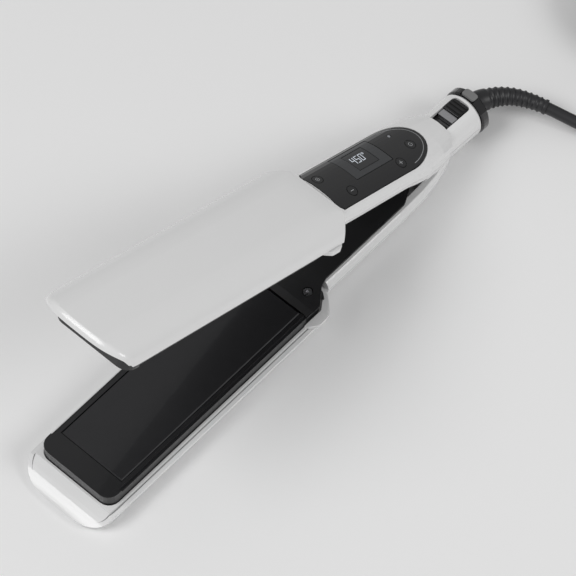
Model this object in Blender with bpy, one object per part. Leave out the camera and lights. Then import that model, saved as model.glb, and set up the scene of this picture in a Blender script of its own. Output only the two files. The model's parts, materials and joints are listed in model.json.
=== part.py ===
"""Hair straightening iron: two hinged arms, standing open, with its cord and plug.

Each arm is modelled closed, around the hinge axis.  Three numbers place a point on an arm:
s, its distance from the hinge axis towards the tips; w, its place across the arm; and
h, its height above the plane in which the two hot plates meet.  The lower arm is the
upper arm's mirror image, and an empty on the hinge axis turns the upper arm open.
The neck that carries the cord is modelled the same way, with u as its distance
behind the hinge axis.
"""
import math

import bmesh
import bpy
from mathutils import Matrix, Vector

MM = 0.001

# Place of the hinge axis, which puts the origin under the middle of the iron.
HINGE_X = 99.1 * MM
HINGE_Z = 17.9 * MM
OPEN_ANGLE = math.radians(22.7)
NECK_TILT = math.radians(5.0)
GAP = 0.35 * MM

# Hot plates, from the hinge axis outwards.
PLATE_REAR = 99.2 * MM
PLATE_FRONT = 218.5 * MM
PLATE_HALF = 18.8 * MM
PLATE_FACE = 0.2 * MM
PLATE_THICK = 3.0 * MM

# Heat surround, frame and cover of each arm.
SURROUND_REAR = 98.8 * MM
SURROUND_FRONT = 230.3 * MM
SURROUND_HALF = 22.3 * MM
SURROUND_FACE = 0.5 * MM
SURROUND_BACK = 8.15 * MM
FRAME_HALF = 23.7 * MM
FRAME_FACE = 6.9 * MM
FRAME_BACK = 10.2 * MM
COVER_HALF = 26.0 * MM
COVER_EDGE = 8.6 * MM
CROWN = 18.3 * MM
CROWN_FLAT = 0.4 * MM
COVER_WALL = 1.8 * MM
CROWN_WALL = 2.3 * MM
COVER_REAR = 77.4 * MM
TIP_START = 226.0 * MM
TIP_LENGTH = 17.5 * MM
CREASE = 231.6 * MM

SCREW_S = 87.0 * MM
SCREW_W = 12.6 * MM

# Handle shells.
HANDLE_HALF = 17.0 * MM
HANDLE_TOP = 16.5 * MM
HANDLE_FRONT = 77.0 * MM
HANDLE_RIM = 3.8 * MM
SHELL_WALL = 1.8 * MM

# Inner covers between the handles.
INNER_FACE = 2.2 * MM
INNER_BACK = 3.4 * MM
INNER_HALF = 14.0 * MM
LOBE_HALF = 22.2 * MM

# Neck, collar and cord exit.
NECK_R = 11.7 * MM
NECK_DROP = 0.5 * MM
NECK_END = 39.0 * MM
COLLAR_R = 12.2 * MM
COLLAR_END = 44.5 * MM
STEM_R = 5.2 * MM

# Hinge.
PIN_R = 2.0 * MM
BORE_R = 2.3 * MM

# Control panel and display, on the upper handle.
PANEL_HALF = 13.9 * MM
PANEL_FRONT = 76.4 * MM
PANEL_REAR = 1.0 * MM
PANEL_THICK = 1.5 * MM
DISPLAY = (27.6 * MM, 54.6 * MM, -5.0 * MM, 12.2 * MM)
WINDOW = (34.0 * MM, 48.3 * MM, -1.6 * MM, 9.8 * MM)
BUTTONS = {
    "mode_button": (71.4 * MM, 5.6 * MM),
    "minus_button": (62.4 * MM, -8.6 * MM),
    "plus_button": (25.4 * MM, -8.7 * MM),
    "power_button": (11.4 * MM, -3.0 * MM),
}
BUTTON_R = 2.6 * MM
STATUS_LIGHT = (15.5 * MM, 7.0 * MM)
HANDS = (("left", 1), ("right", -1))

# Cord.
CORD_R = 3.0 * MM
COIL_X = 258.0 * MM
COIL_Y = -32.0 * MM
COIL_MEAN = 33.0 * MM
COIL_COLUMNS = 3
COIL_LAYERS = 4
TIE_THICK = 0.8 * MM
PLUG_START = -6.0
PLUG_HEIGHT = 33.2

# Colour, roughness and metallic value of each material.
FINISHES = {
    "white_gloss": ((0.90, 0.90, 0.90), 0.22, 0.0),
    "black_gloss": ((0.010, 0.010, 0.012), 0.10, 0.0),
    "black_satin": ((0.020, 0.020, 0.022), 0.40, 0.0),
    "heat_black": ((0.015, 0.015, 0.016), 0.30, 0.0),
    "plate_ceramic": ((0.020, 0.020, 0.022), 0.18, 0.6),
    "display_grey": ((0.10, 0.105, 0.11), 0.35, 0.0),
    "display_glass": ((0.006, 0.007, 0.009), 0.06, 0.0),
    "pad_grey": ((0.28, 0.28, 0.28), 0.50, 0.0),
    "steel": ((0.62, 0.62, 0.64), 0.25, 1.0),
    "spring_steel": ((0.45, 0.45, 0.47), 0.35, 1.0),
    "brass": ((0.75, 0.56, 0.25), 0.30, 1.0),
    "silicone": ((0.55, 0.16, 0.10), 0.60, 0.0),
    "circuit_board": ((0.02, 0.16, 0.07), 0.45, 0.0),
    "component_black": ((0.02, 0.02, 0.02), 0.50, 0.0),
    "heater_ceramic": ((0.78, 0.76, 0.70), 0.60, 0.0),
    "lead_red": ((0.45, 0.03, 0.02), 0.50, 0.0),
    "cord_black": ((0.025, 0.025, 0.027), 0.45, 0.0),
    "light_lens": ((0.30, 0.32, 0.34), 0.20, 0.0),
}


# ---------------------------------------------------------------- scene helpers

def clear_scene():
    for item in list(bpy.context.scene.objects):
        bpy.data.objects.remove(item)


def make_materials():
    made = {}
    for name, (colour, roughness, metallic) in FINISHES.items():
        material = bpy.data.materials.new(name)
        material.use_nodes = True
        shader = material.node_tree.nodes["Principled BSDF"]
        shader.inputs["Base Color"].default_value = (*colour, 1.0)
        shader.inputs["Roughness"].default_value = roughness
        shader.inputs["Metallic"].default_value = metallic
        made[name] = material
    return made


def from_bmesh(bm):
    """An object that holds a bmesh, with its faces turned outwards."""
    bmesh.ops.recalc_face_normals(bm, faces=bm.faces)
    mesh = bpy.data.meshes.new("shape")
    bm.to_mesh(mesh)
    bm.free()
    shape = bpy.data.objects.new("shape", mesh)
    bpy.context.scene.collection.objects.link(shape)
    return shape


def combine(target, tool, operation):
    """Apply a Boolean to target and remove the tool."""
    modifier = target.modifiers.new("combine", "BOOLEAN")
    modifier.operation = operation
    modifier.object = tool
    modifier.solver = "EXACT"
    graph = bpy.context.evaluated_depsgraph_get()
    mesh = bpy.data.meshes.new_from_object(target.evaluated_get(graph))
    target.modifiers.clear()
    target.data = mesh
    bpy.data.objects.remove(tool)
    return target


def cut(target, *tools):
    for tool in tools:
        combine(target, tool, "DIFFERENCE")
    return target


def join(target, *tools):
    for tool in tools:
        combine(target, tool, "UNION")
    return target


def finish(name, shape, material, parent, smooth_angle=35.0):
    """Name a finished shape, colour it and hang it on its parent."""
    shape.name = name
    shape.data.name = name
    shape.data.materials.clear()
    shape.data.materials.append(material)
    shape.data.shade_smooth()
    shape.data.set_sharp_from_angle(angle=math.radians(smooth_angle))
    shape.parent = parent
    return shape


def move(shape, matrix):
    shape.data.transform(matrix)
    if matrix.determinant() < 0:
        shape.data.flip_normals()
    return shape


# ---------------------------------------------------------------- shape helpers

def prism(outline, low, high, side=1):
    """Extrude a plan outline of (s, w) points from height low to high on one side."""
    bm = bmesh.new()
    ring = [bm.verts.new((-s, w, side * low)) for s, w in outline]
    face = bm.faces.new(ring)
    moved = bmesh.ops.extrude_face_region(bm, geom=[face])["geom"]
    tops = [v for v in moved if isinstance(v, bmesh.types.BMVert)]
    bmesh.ops.translate(bm, verts=tops, vec=(0, 0, side * (high - low)))
    return from_bmesh(bm)


def side_prism(outline, half, side=1, centre=0.0):
    """Extrude a side outline of (s, h) points across the arm, half each way."""
    bm = bmesh.new()
    ring = [bm.verts.new((-s, centre - half, side * h)) for s, h in outline]
    face = bm.faces.new(ring)
    moved = bmesh.ops.extrude_face_region(bm, geom=[face])["geom"]
    ends = [v for v in moved if isinstance(v, bmesh.types.BMVert)]
    bmesh.ops.translate(bm, verts=ends, vec=(0, 2 * half, 0))
    return from_bmesh(bm)


def box(s0, s1, w0, w1, h0, h1, side=1):
    return prism([(s0, w0), (s1, w0), (s1, w1), (s0, w1)], h0, h1, side)


def loft(rings):
    """Skin a closed body over rings that have the same number of points."""
    bm = bmesh.new()
    rows = [[bm.verts.new(point) for point in ring] for ring in rings]
    count = len(rows[0])
    for near, far in zip(rows, rows[1:]):
        for i in range(count):
            j = (i + 1) % count
            bm.faces.new((near[i], near[j], far[j], far[i]))
    bm.faces.new(rows[0])
    bm.faces.new(rows[-1])
    return from_bmesh(bm)


def turned(profile, segments=32, side_axis=False):
    """Turn (distance along, radius) points about the X axis, or the Y axis."""
    rings = []
    for along, radius in profile:
        ring = []
        for i in range(segments):
            angle = 2 * math.pi * i / segments
            a, b = radius * math.cos(angle), radius * math.sin(angle)
            ring.append((a, along, b) if side_axis else (along, a, b))
        rings.append(ring)
    return loft(rings)


def tube(path, radii, sides):
    """Skin a tapered tube along a smooth path."""
    rings = []
    for i, point in enumerate(path):
        ahead = path[min(i + 1, len(path) - 1)] - path[max(i - 1, 0)]
        turn = ahead.to_track_quat("X", "Z")
        ring = []
        for k in range(sides):
            angle = 2 * math.pi * k / sides
            offset = Vector((0, math.cos(angle), math.sin(angle))) * radii[i]
            ring.append(point + turn @ offset)
        rings.append(ring)
    return loft(rings)


def smooth_path(points, spacing):
    """Read evenly spaced points from a smooth curve through a route's points."""
    fine = []
    ends = [2 * points[0] - points[1], *points, 2 * points[-1] - points[-2]]
    for a, b, c, d in zip(ends, ends[1:], ends[2:], ends[3:]):
        for i in range(40):
            t = i / 40
            fine.append(0.5 * ((2 * b) + (c - a) * t + (2 * a - 5 * b + 4 * c - d) * t**2
                               + (3 * b - a - 3 * c + d) * t**3))
    fine.append(points[-1])
    lengths = [0.0]
    for a, b in zip(fine, fine[1:]):
        lengths.append(lengths[-1] + (b - a).length)
    count = max(2, round(lengths[-1] / spacing))
    path = []
    for i in range(count + 1):
        goal = lengths[-1] * i / count
        k = min(next(n for n, x in enumerate(lengths) if x >= goal - 1e-12), len(fine) - 1)
        if k == 0:
            path.append(fine[0].copy())
        else:
            step = (goal - lengths[k - 1]) / (lengths[k] - lengths[k - 1])
            path.append(fine[k - 1].lerp(fine[k], step))
    return path


def rounded(corners, steps=5):
    """A plan outline from corners (s, w, radius), each rounded by an arc."""
    outline = []
    for i, (s, w, radius) in enumerate(corners):
        here = Vector((s, w))
        before = (Vector(corners[i - 1][:2]) - here).normalized()
        after = (Vector(corners[(i + 1) % len(corners)][:2]) - here).normalized()
        if radius == 0:
            outline.append((s, w))
            continue
        half = before.angle(after) / 2
        centre = here + (before + after).normalized() * (radius / math.sin(half))
        start = here + before * (radius / math.tan(half)) - centre
        end = here + after * (radius / math.tan(half)) - centre
        sweep = start.angle_signed(end)
        for k in range(steps + 1):
            point = centre + Matrix.Rotation(-sweep * k / steps, 2) @ start
            outline.append((point.x, point.y))
    return outline


def mirrored(half_corners):
    """Add the other side to corners given for w above zero, rear to front."""
    return half_corners + [(s, -w, r) for s, w, r in reversed(half_corners)]


def crown_profile(half, base, edge, crown, power=2.6, segments=24):
    """Cross-section (w, h) of a crowned lid: a superellipse with a flat along its top."""
    rise, flat = crown - edge, crown - CROWN_FLAT
    reach = half * (1 - ((flat - edge) / rise) ** power) ** (1 / power)
    points = [(half, base)] if base < edge else []
    for i in range(segments + 1):
        angle = math.pi * i / segments
        c, s = math.cos(angle), math.sin(angle)
        w = half * math.copysign(abs(c) ** (2 / power), c)
        if abs(w) > reach + 0.5 * MM:
            points.append((w, edge + rise * abs(s) ** (2 / power)))
        elif abs(points[-1][0]) > reach:
            points += [(reach, flat), (-reach, flat)]
    if base < edge:
        points.append((-half, base))
    return points


def crown_bar(profile, rear, front):
    return loft([[(-s, w, h) for w, h in profile] for s in (rear, front)])


def arm_outline(half, tip, rear_corners):
    """Plan outline with a bowed tip, and the rear given as corners for w above zero."""
    count = 18
    bow = []
    for i in range(1, count):
        angle = math.pi * i / count - math.pi / 2
        w = half * math.copysign(abs(math.sin(angle)) ** (2 / 3.2), math.sin(angle))
        bow.append((TIP_START + tip * math.cos(angle) ** (2 / 3.2), w))
    rear = rounded([(TIP_START, half, 0), *reversed(rear_corners),
                    *[(s, -w, r) for s, w, r in rear_corners], (TIP_START, -half, 0)])
    return rear + bow


def scoop():
    """The hollow under each tip that keeps fingers off the heat."""
    depth, length, steps = 7.2 * MM, 14.0 * MM, 8
    line = [(CREASE, FRAME_FACE - 3 * MM), (CREASE, FRAME_FACE + 0.8 * MM)]
    for i in range(1, steps + 1):
        u = i / steps
        line.append((CREASE + length * u, FRAME_FACE + 0.8 * MM + depth * (1 - (1 - u) ** 2.2)))
    line.append((CREASE + 2 * length, FRAME_FACE + 1.6 * MM + depth))
    line.append((CREASE + 2 * length, FRAME_FACE - 3 * MM))
    return side_prism(line, 40 * MM)


def ellipse_ring(x, half, mid, reach, power, side, points=28):
    """A superellipse across the arm, its middle at height mid."""
    ring = []
    for i in range(points):
        angle = 2 * math.pi * i / points
        c, s = math.cos(angle), math.sin(angle)
        w = half * math.copysign(abs(c) ** (2 / power), c)
        h = mid + reach * math.copysign(abs(s) ** (2 / power), s)
        ring.append((x, w, side * h))
    return ring


def handle_body(stations, inset, front, side):
    """Loft a handle from (s, half width, middle, reach, power), thinned by inset."""
    rings = []
    for s, half, mid, reach, power in stations:
        x = -min(s, front - inset)
        rings.append(ellipse_ring(x, half - inset, mid, reach - inset, power, side))
    return loft(rings)


def spine_top(s, w):
    """Height of the handle's crowned top at a place on the control panel."""
    mid, reach = 8.3 * MM, HANDLE_TOP - 8.3 * MM
    return mid + reach * (1 - abs(w / HANDLE_HALF) ** 2.4) ** (1 / 2.4)


# ---------------------------------------------------------------- the two arms

def cover():
    slope = [(COVER_REAR, 16.2 * MM, 2 * MM), (86.5 * MM, COVER_HALF, 9 * MM)]
    inner_slope = [(COVER_REAR + COVER_WALL, 15.3 * MM, 1.5 * MM),
                   (87.4 * MM, COVER_HALF - COVER_WALL, 8 * MM)]
    body = prism(arm_outline(COVER_HALF, TIP_LENGTH, slope), 2 * MM, 30 * MM)
    profile = crown_profile(COVER_HALF, COVER_EDGE, COVER_EDGE, CROWN)
    combine(body, crown_bar(profile, 60 * MM, 260 * MM), "INTERSECT")
    hollow = prism(arm_outline(COVER_HALF - COVER_WALL, TIP_LENGTH - COVER_WALL, inner_slope),
                   1 * MM, 31 * MM)
    inner = crown_profile(COVER_HALF - COVER_WALL, 3 * MM, COVER_EDGE, CROWN - CROWN_WALL)
    combine(hollow, crown_bar(inner, 61 * MM, 259 * MM), "INTERSECT")
    shoulder = side_prism([(86.0 * MM, 18.5 * MM), (COVER_REAR - 1 * MM, 16.5 * MM),
                           (70 * MM, 16.5 * MM), (70 * MM, 30 * MM), (86.0 * MM, 30 * MM)],
                          40 * MM)
    return cut(body, hollow, shoulder, scoop())


def frame():
    rear = [(82.8 * MM, 17.0 * MM, 3 * MM), (88.6 * MM, FRAME_HALF, 3 * MM)]
    body = prism(arm_outline(FRAME_HALF, TIP_LENGTH - 2.4 * MM, rear),
                 FRAME_FACE, 20 * MM)
    top = crown_profile(FRAME_HALF, 4 * MM, COVER_EDGE, CROWN - CROWN_WALL - GAP)
    combine(body, crown_bar(top, 61 * MM, 259 * MM), "INTERSECT")
    ears = []
    for hand in (1, -1):
        corners = [(100.4, 22.75, 0), (99.0, 24.8, 1.5), (95.6, 27.5, 2), (90.0, 27.6, 3),
                   (85.8, 24.4, 3), (82.8, 20.4, 0.4), (84.2, 19.4, 0.4), (88.8, 22.75, 0)]
        outline = rounded([(s * MM, hand * w * MM, r * MM) for s, w, r in corners])
        ears.append(prism(outline, 5.9 * MM, 8.2 * MM))
    cut(body, box(60 * MM, 229.6 * MM, -40 * MM, 40 * MM, FRAME_BACK, 30 * MM))
    pocket = rounded([(70 * MM, -22.65 * MM, 0), (SURROUND_FRONT + GAP, -22.65 * MM, 6 * MM),
                      (SURROUND_FRONT + GAP, 22.65 * MM, 6 * MM), (70 * MM, 22.65 * MM, 0)])
    cut(body, prism(pocket, 4 * MM, SURROUND_BACK + GAP), scoop())
    for start in (104, 176):
        cut(body, box(start * MM, (start + 36) * MM, -12 * MM, 12 * MM, 7 * MM, 12 * MM))
    return join(body, *ears)


def surround():
    outline = rounded([(SURROUND_REAR, -SURROUND_HALF, 0), (SURROUND_FRONT, -SURROUND_HALF, 6 * MM),
                       (SURROUND_FRONT, SURROUND_HALF, 6 * MM), (SURROUND_REAR, SURROUND_HALF, 0)])
    body = prism(outline, SURROUND_FACE, SURROUND_BACK)
    well = PLATE_HALF + GAP
    cut(body, box(90 * MM, PLATE_FRONT + GAP, -well, well, -2 * MM, 6.6 * MM))
    for hand in (1, -1):
        near, far = sorted((hand * 21.0 * MM, hand * 30 * MM))
        cut(body, box(90 * MM, 222 * MM, near, far, -2 * MM, 1.7 * MM))
    cut(body, box(120 * MM, 200 * MM, -6 * MM, 6 * MM, 6 * MM, 9 * MM))
    return body


def plate():
    bevel = 0.5 * MM
    low, high = PLATE_FACE, PLATE_FACE + PLATE_THICK
    rings = []
    for h, inset in ((high, 0.0), (low + bevel, 0.0), (low, bevel)):
        s0, s1, w = PLATE_REAR + inset, PLATE_FRONT - inset, PLATE_HALF - inset
        rings.append([(-s0, -w, h), (-s1, -w, h),
                      (-s1, w, h), (-s0, w, h)])
    return loft(rings)


def heater():
    return box(112 * MM, 208 * MM, -8 * MM, 8 * MM, 3.55 * MM, 5.3 * MM)


def cushion():
    """A silicone frame round the heater, which carries the hot plate."""
    pad = box(106 * MM, 214 * MM, -13 * MM, 13 * MM, 3.55 * MM, 6.25 * MM)
    return cut(pad, box(111.6 * MM, 208.4 * MM, -8.4 * MM, 8.4 * MM, 3 * MM, 7 * MM),
               box(105 * MM, 112 * MM, 1.6 * MM, 4.4 * MM, 3 * MM, 7 * MM))


def heater_lead():
    route = [(111.4, 3.0, 4.6), (104, 3.0, 4.9), (97, 3.0, 5.5), (90, 2.8, 5.9), (80, 2.0, 6.6),
             (66, 0.0, 7.0), (48, -4.0, 7.2), (30, -5.0, 7.4)]
    points = [Vector((-s, w, h)) * MM for s, w, h in route]
    path = smooth_path(points, 5 * MM)
    return tube(path, [0.9 * MM] * len(path), 8)


def inner_cover():
    corners = [(11.5, 9.5, 2), (20.0, INNER_HALF / MM, 6), (75.6, INNER_HALF / MM, 4),
               (80.6, 15.6, 4), (88.8, 22.2, 4), (98.2, LOBE_HALF / MM, 0)]
    outline = rounded(mirrored([(s * MM, w * MM, r * MM) for s, w, r in corners]))
    body = prism(outline, INNER_FACE, INNER_BACK)
    lobe_corners = [(77.7, 12.6, 2), (81.2, 15.0, 4), (89.2, 21.6, 4), (98.2, 21.6, 0)]
    lobe = prism(rounded(mirrored([(s * MM, w * MM, r * MM) for s, w, r in lobe_corners])),
                 0.6 * MM, SURROUND_BACK)
    ramp = side_prism([(98.4 * MM, 0.5 * MM), (98.3 * MM, 0.7 * MM), (93.0 * MM, 3.0 * MM),
                       (85.0 * MM, INNER_FACE), (60 * MM, INNER_FACE), (60 * MM, -5 * MM),
                       (98.4 * MM, -5 * MM)], 40 * MM)
    hollow = prism(rounded(mirrored([(79.4 * MM, 11.4 * MM, 1 * MM), (82.2 * MM, 13.6 * MM, 3 * MM),
                                     (90.0 * MM, 20.0 * MM, 3 * MM), (101 * MM, 20.0 * MM, 0)])),
                   4.4 * MM, 12 * MM)
    gate = box(70 * MM, 82 * MM, -4 * MM, 4 * MM, 4.6 * MM, 12 * MM)
    join(body, lobe)
    cut(body, ramp, hollow, gate)
    for hand in (1, -1):
        hole = turned([(1 * MM, 2.6 * MM), (3.9 * MM, 2.6 * MM), (3.901 * MM, 1.6 * MM), (12 * MM, 1.6 * MM)], 20)
        move(hole, Matrix.Translation((-SCREW_S, hand * SCREW_W, 0)) @ aim())
        cut(body, hole)
    for s in (34.0, 58.0):
        slot = box(s * MM, (s + 4) * MM, -INNER_HALF * 2, INNER_HALF * 2, 0, 2.6 * MM)
        cut(slot, box(0, 100 * MM, -12.6 * MM, 12.6 * MM, -1 * MM, 5 * MM))
        cut(body, slot)
    return body


def aim():
    """Turn a shape that lies along X so that it points along the arm's height."""
    return Matrix.Rotation(-math.pi / 2, 4, "Y")


def screw(hand):
    body = turned([(2.6 * MM, 2.2 * MM), (3.8 * MM, 2.2 * MM), (3.801 * MM, 1.2 * MM),
                   (7.8 * MM, 1.2 * MM)], 20)
    cut(body, turned([(2.0 * MM, 0.9 * MM), (3.3 * MM, 0.9 * MM)], 6))
    return move(body, Matrix.Translation((-SCREW_S, hand * SCREW_W, 0)) @ aim())


def lead_hole(side):
    return box(60 * MM, 90 * MM, -4 * MM, 4 * MM, 5.2 * MM, 9.0 * MM, side)


# ---------------------------------------------------------------- shells and neck

UPPER_STATIONS = [
    (HANDLE_FRONT, 16.8 * MM, 8.3 * MM, 8.2 * MM, 2.4),
    (66 * MM, HANDLE_HALF, 8.3 * MM, 8.2 * MM, 2.4),
    (25 * MM, HANDLE_HALF, 8.3 * MM, 8.2 * MM, 2.4),
    (8 * MM, 16.6 * MM, 6.5 * MM, 10.0 * MM, 2.8),
    (-3 * MM, 15.4 * MM, 6.5 * MM, 10.0 * MM, 2.8),
    (-11 * MM, 14.0 * MM, 6.2 * MM, 10.2 * MM, 2.6),
    (-20 * MM, 12.6 * MM, 6.0 * MM, 10.2 * MM, 2.4),
]
LOWER_STATIONS = [
    (HANDLE_FRONT, 16.8 * MM, 8.3 * MM, 8.2 * MM, 2.4),
    (66 * MM, HANDLE_HALF, 8.3 * MM, 8.2 * MM, 2.4),
    (25 * MM, HANDLE_HALF, 8.3 * MM, 8.2 * MM, 2.4),
    (8 * MM, 16.4 * MM, 8.1 * MM, 8.0 * MM, 2.4),
    (-3 * MM, 14.9 * MM, 7.6 * MM, 7.6 * MM, 2.3),
    (-11 * MM, 12.8 * MM, 7.0 * MM, 7.2 * MM, 2.2),
    (-16 * MM, 11.0 * MM, 6.8 * MM, 6.6 * MM, 2.1),
]
REAR_LOW = (-6.0 * MM, 0.5 * MM)
REAR_HIGH = (-14.5 * MM, 16.6 * MM)


def neck_frame():
    """Place of the neck: dropped a little, and tilted down towards the cord."""
    return Matrix.Rotation(NECK_TILT, 4, "Y") @ Matrix.Translation((0, 0, -NECK_DROP))


def hinge_space(radius):
    """Room for the hinge bracket's ears as the arms turn."""
    return turned([(-10.4 * MM, radius), (10.4 * MM, radius)], 24, side_axis=True)


def upper_shell():
    body = handle_body(UPPER_STATIONS, 0.0, 1.0, 1)
    inside = [(s, half, mid - 3 * MM, reach + SHELL_WALL - 0.4 * MM, power)
              for s, half, mid, reach, power in UPPER_STATIONS]
    hollow = handle_body(inside, SHELL_WALL, HANDLE_FRONT, 1)
    edge = [(120 * MM, HANDLE_RIM), (9.0 * MM, HANDLE_RIM), (8.6 * MM, -1.5 * MM), REAR_LOW,
            REAR_HIGH, (-15 * MM, 40 * MM), (-60 * MM, 40 * MM), (-60 * MM, -40 * MM),
            (120 * MM, -40 * MM)]
    wall = 2.0 * MM
    behind = [(REAR_LOW[0] + wall + 2.6 * MM, -4.5 * MM), (REAR_HIGH[0] + wall, REAR_HIGH[1]),
              (REAR_HIGH[0] + wall, 40 * MM), (-60 * MM, 40 * MM), (-60 * MM, -40 * MM),
              (REAR_LOW[0] + wall + 2.6 * MM, -40 * MM)]
    cut(hollow, side_prism(behind, 40 * MM))
    cut(body, side_prism(edge, 40 * MM), hollow, lead_hole(1))
    cut(body, panel_prism(0.4 * MM, -(PANEL_THICK + 0.3 * MM)))
    cut(body, box(27.0 * MM, 55.2 * MM, -5.6 * MM, 12.8 * MM, 10 * MM, 30 * MM))
    cut(body, box(-20 * MM, 0, -3.6 * MM, 3.6 * MM, 3.5 * MM, 10.5 * MM))
    cut(body, hinge_space(5.6 * MM))
    for s, w in BUTTONS.values():
        cut(body, upright_disc(s, w, BUTTON_R - 0.6 * MM, 10 * MM, 30 * MM))
    return body


def panel_outline(grow):
    """Straight sides, a square front and a round rear end."""
    half = PANEL_HALF + grow
    front, rear = PANEL_FRONT + grow, PANEL_REAR - grow
    reach = 19 * MM
    points = [(front - 3 * MM, -half), (front, -half + 3 * MM), (front, half - 3 * MM),
              (front - 3 * MM, half)]
    count = 16
    for i in range(count + 1):
        angle = math.pi * i / count
        points.append((rear + reach - reach * math.sin(angle), half * math.cos(angle)))
    return points


def crowned_slab(grow, low, high, front, rear):
    """A slab that follows the crowned top of the handle, between two offsets."""
    rings = []
    count = 14
    half = PANEL_HALF + grow + 1 * MM
    for s in (front, rear):
        across = [-half + 2 * half * i / count for i in range(count + 1)]
        ring = [(-s, w, spine_top(s, w) + high) for w in across]
        ring += [(-s, w, spine_top(s, w) + low) for w in reversed(across)]
        rings.append(ring)
    return loft(rings)


def panel_prism(grow, low, high=5 * MM):
    """The panel's solid, or with a little growth the recess that it lies in."""
    slab = crowned_slab(grow, low, high, PANEL_FRONT + 5 * MM, PANEL_REAR - 5 * MM)
    return combine(slab, prism(panel_outline(grow), 2 * MM, 40 * MM), "INTERSECT")


def upright_disc(s, w, radius, low, high, segments=20):
    outline = [(s + radius * math.cos(2 * math.pi * i / segments),
                w + radius * math.sin(2 * math.pi * i / segments)) for i in range(segments)]
    return prism(outline, low, high)


def neck_half(upper):
    """Half of the neck tube: the removable cap above, or the part below."""
    outer = turned([(0, NECK_R), (NECK_END - 1 * MM, NECK_R), (NECK_END, NECK_R - 0.8 * MM)], 36)
    bore = turned([(-5 * MM, NECK_R - SHELL_WALL), (NECK_END - 1.9 * MM, NECK_R - SHELL_WALL)], 36)
    exit_hole = turned([(10 * MM, STEM_R + 0.5 * MM), (60 * MM, STEM_R + 0.5 * MM)], 28)
    cut(outer, bore, exit_hole)
    keep = 0.15 * MM
    if upper:
        cut(outer, prism([(30 * MM, -30 * MM), (-60 * MM, -30 * MM), (-60 * MM, 30 * MM),
                          (30 * MM, 30 * MM)], -30 * MM, keep + NECK_DROP))
    else:
        cut(outer, prism([(30 * MM, -30 * MM), (-60 * MM, -30 * MM), (-60 * MM, 30 * MM),
                          (30 * MM, 30 * MM)], NECK_DROP - keep, 30 * MM))
    return move(outer, neck_frame())


def rear_clearance():
    """The space that the upper handle's rear end fills when the iron is open."""
    slope = Vector((REAR_HIGH[0] - REAR_LOW[0], REAR_HIGH[1] - REAR_LOW[1])).normalized()
    shift = 0.5 * MM
    low = (REAR_LOW[0] - slope.y * shift - slope.x * 20 * MM, REAR_LOW[1] + slope.x * shift - slope.y * 20 * MM)
    high = (REAR_HIGH[0] - slope.y * shift + slope.x * 20 * MM, REAR_HIGH[1] + slope.x * shift + slope.y * 20 * MM)
    space = side_prism([low, high, (60 * MM, high[1]), (60 * MM, low[1])], 40 * MM)
    return move(space, Matrix.Rotation(OPEN_ANGLE, 4, "Y"))


def neck_cap():
    body = neck_half(True)
    window = prism(rounded([(-15.0 * MM, -5.2 * MM, 0), (-36.6 * MM, -5.2 * MM, 2 * MM),
                            (-36.6 * MM, 5.2 * MM, 2 * MM), (-15.0 * MM, 5.2 * MM, 0)]),
                   6 * MM, 20 * MM)
    move(window, Matrix.Rotation(NECK_TILT, 4, "Y"))
    return cut(body, rear_clearance(), window)


def lower_shell():
    body = handle_body(LOWER_STATIONS, 0.0, 1.0, -1)
    cut(body, box(-60 * MM, 120 * MM, -40 * MM, 40 * MM, -30 * MM, HANDLE_RIM, -1))
    below = neck_half(False)
    cut(below, rear_clearance())
    solid_neck = turned([(0, NECK_R - SHELL_WALL), (NECK_END - 1.9 * MM, NECK_R - SHELL_WALL)], 36)
    join(body, below)
    hollow = handle_body(LOWER_STATIONS[:-1] + [(-14 * MM, 11.4 * MM, 6.9 * MM, 6.8 * MM, 2.1)],
                         SHELL_WALL, HANDLE_FRONT, -1)
    return cut(body, hollow, move(solid_neck, neck_frame()), hinge_space(6.8 * MM),
               lead_hole(-1))


def collar():
    body = turned([(NECK_END + GAP, COLLAR_R - 0.6 * MM), (NECK_END + 1 * MM, COLLAR_R),
                   (COLLAR_END - 1.2 * MM, COLLAR_R), (COLLAR_END, COLLAR_R - 1.2 * MM)], 40)
    cut(body, turned([(0, STEM_R + 0.5 * MM), (80 * MM, STEM_R + 0.5 * MM)], 28))
    seat = prism([(-39 * MM, -4.2 * MM), (-45 * MM, -4.2 * MM), (-45 * MM, 4.2 * MM),
                  (-39 * MM, 4.2 * MM)], 10.6 * MM, 20 * MM)
    return move(cut(body, seat), neck_frame())


def collar_pad():
    corners = [(-39.9 * MM, -3.8 * MM, 1.2 * MM), (-44.1 * MM, -3.8 * MM, 1.2 * MM),
               (-44.1 * MM, 3.8 * MM, 1.2 * MM), (-39.9 * MM, 3.8 * MM, 1.2 * MM)]
    body = prism(rounded(corners), 10.9 * MM, 20 * MM)
    combine(body, turned([(30 * MM, COLLAR_R + 0.15 * MM), (60 * MM, COLLAR_R + 0.15 * MM)], 60), "INTERSECT")
    return move(body, neck_frame())


def swivel_stem():
    """The turned core that lets the cord spin: a slip-ring drum, a flange and a stem."""
    profile = [(28.0, 2.4), (28.6, 3.0), (36.29, 3.0), (36.3, 8.6), (36.8, 8.6),
               (36.81, STEM_R / MM), (44.9, STEM_R / MM)]
    return move(turned([(x * MM, r * MM) for x, r in profile], 28), neck_frame())


def slip_ring():
    body = turned([(29.4 * MM, 4.2 * MM), (31.0 * MM, 4.2 * MM), (31.3 * MM, 3.8 * MM),
                   (31.8 * MM, 3.8 * MM), (32.1 * MM, 4.2 * MM), (33.7 * MM, 4.2 * MM)], 28)
    cut(body, turned([(20 * MM, 3.3 * MM), (40 * MM, 3.3 * MM)], 28))
    return move(body, neck_frame())


def brush_block():
    body = box(-33.6 * MM, -28.8 * MM, -4 * MM, 4 * MM, 4.8 * MM, 8.4 * MM, -1)
    return move(body, neck_frame())


# ---------------------------------------------------------------- hinge and lock

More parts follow.
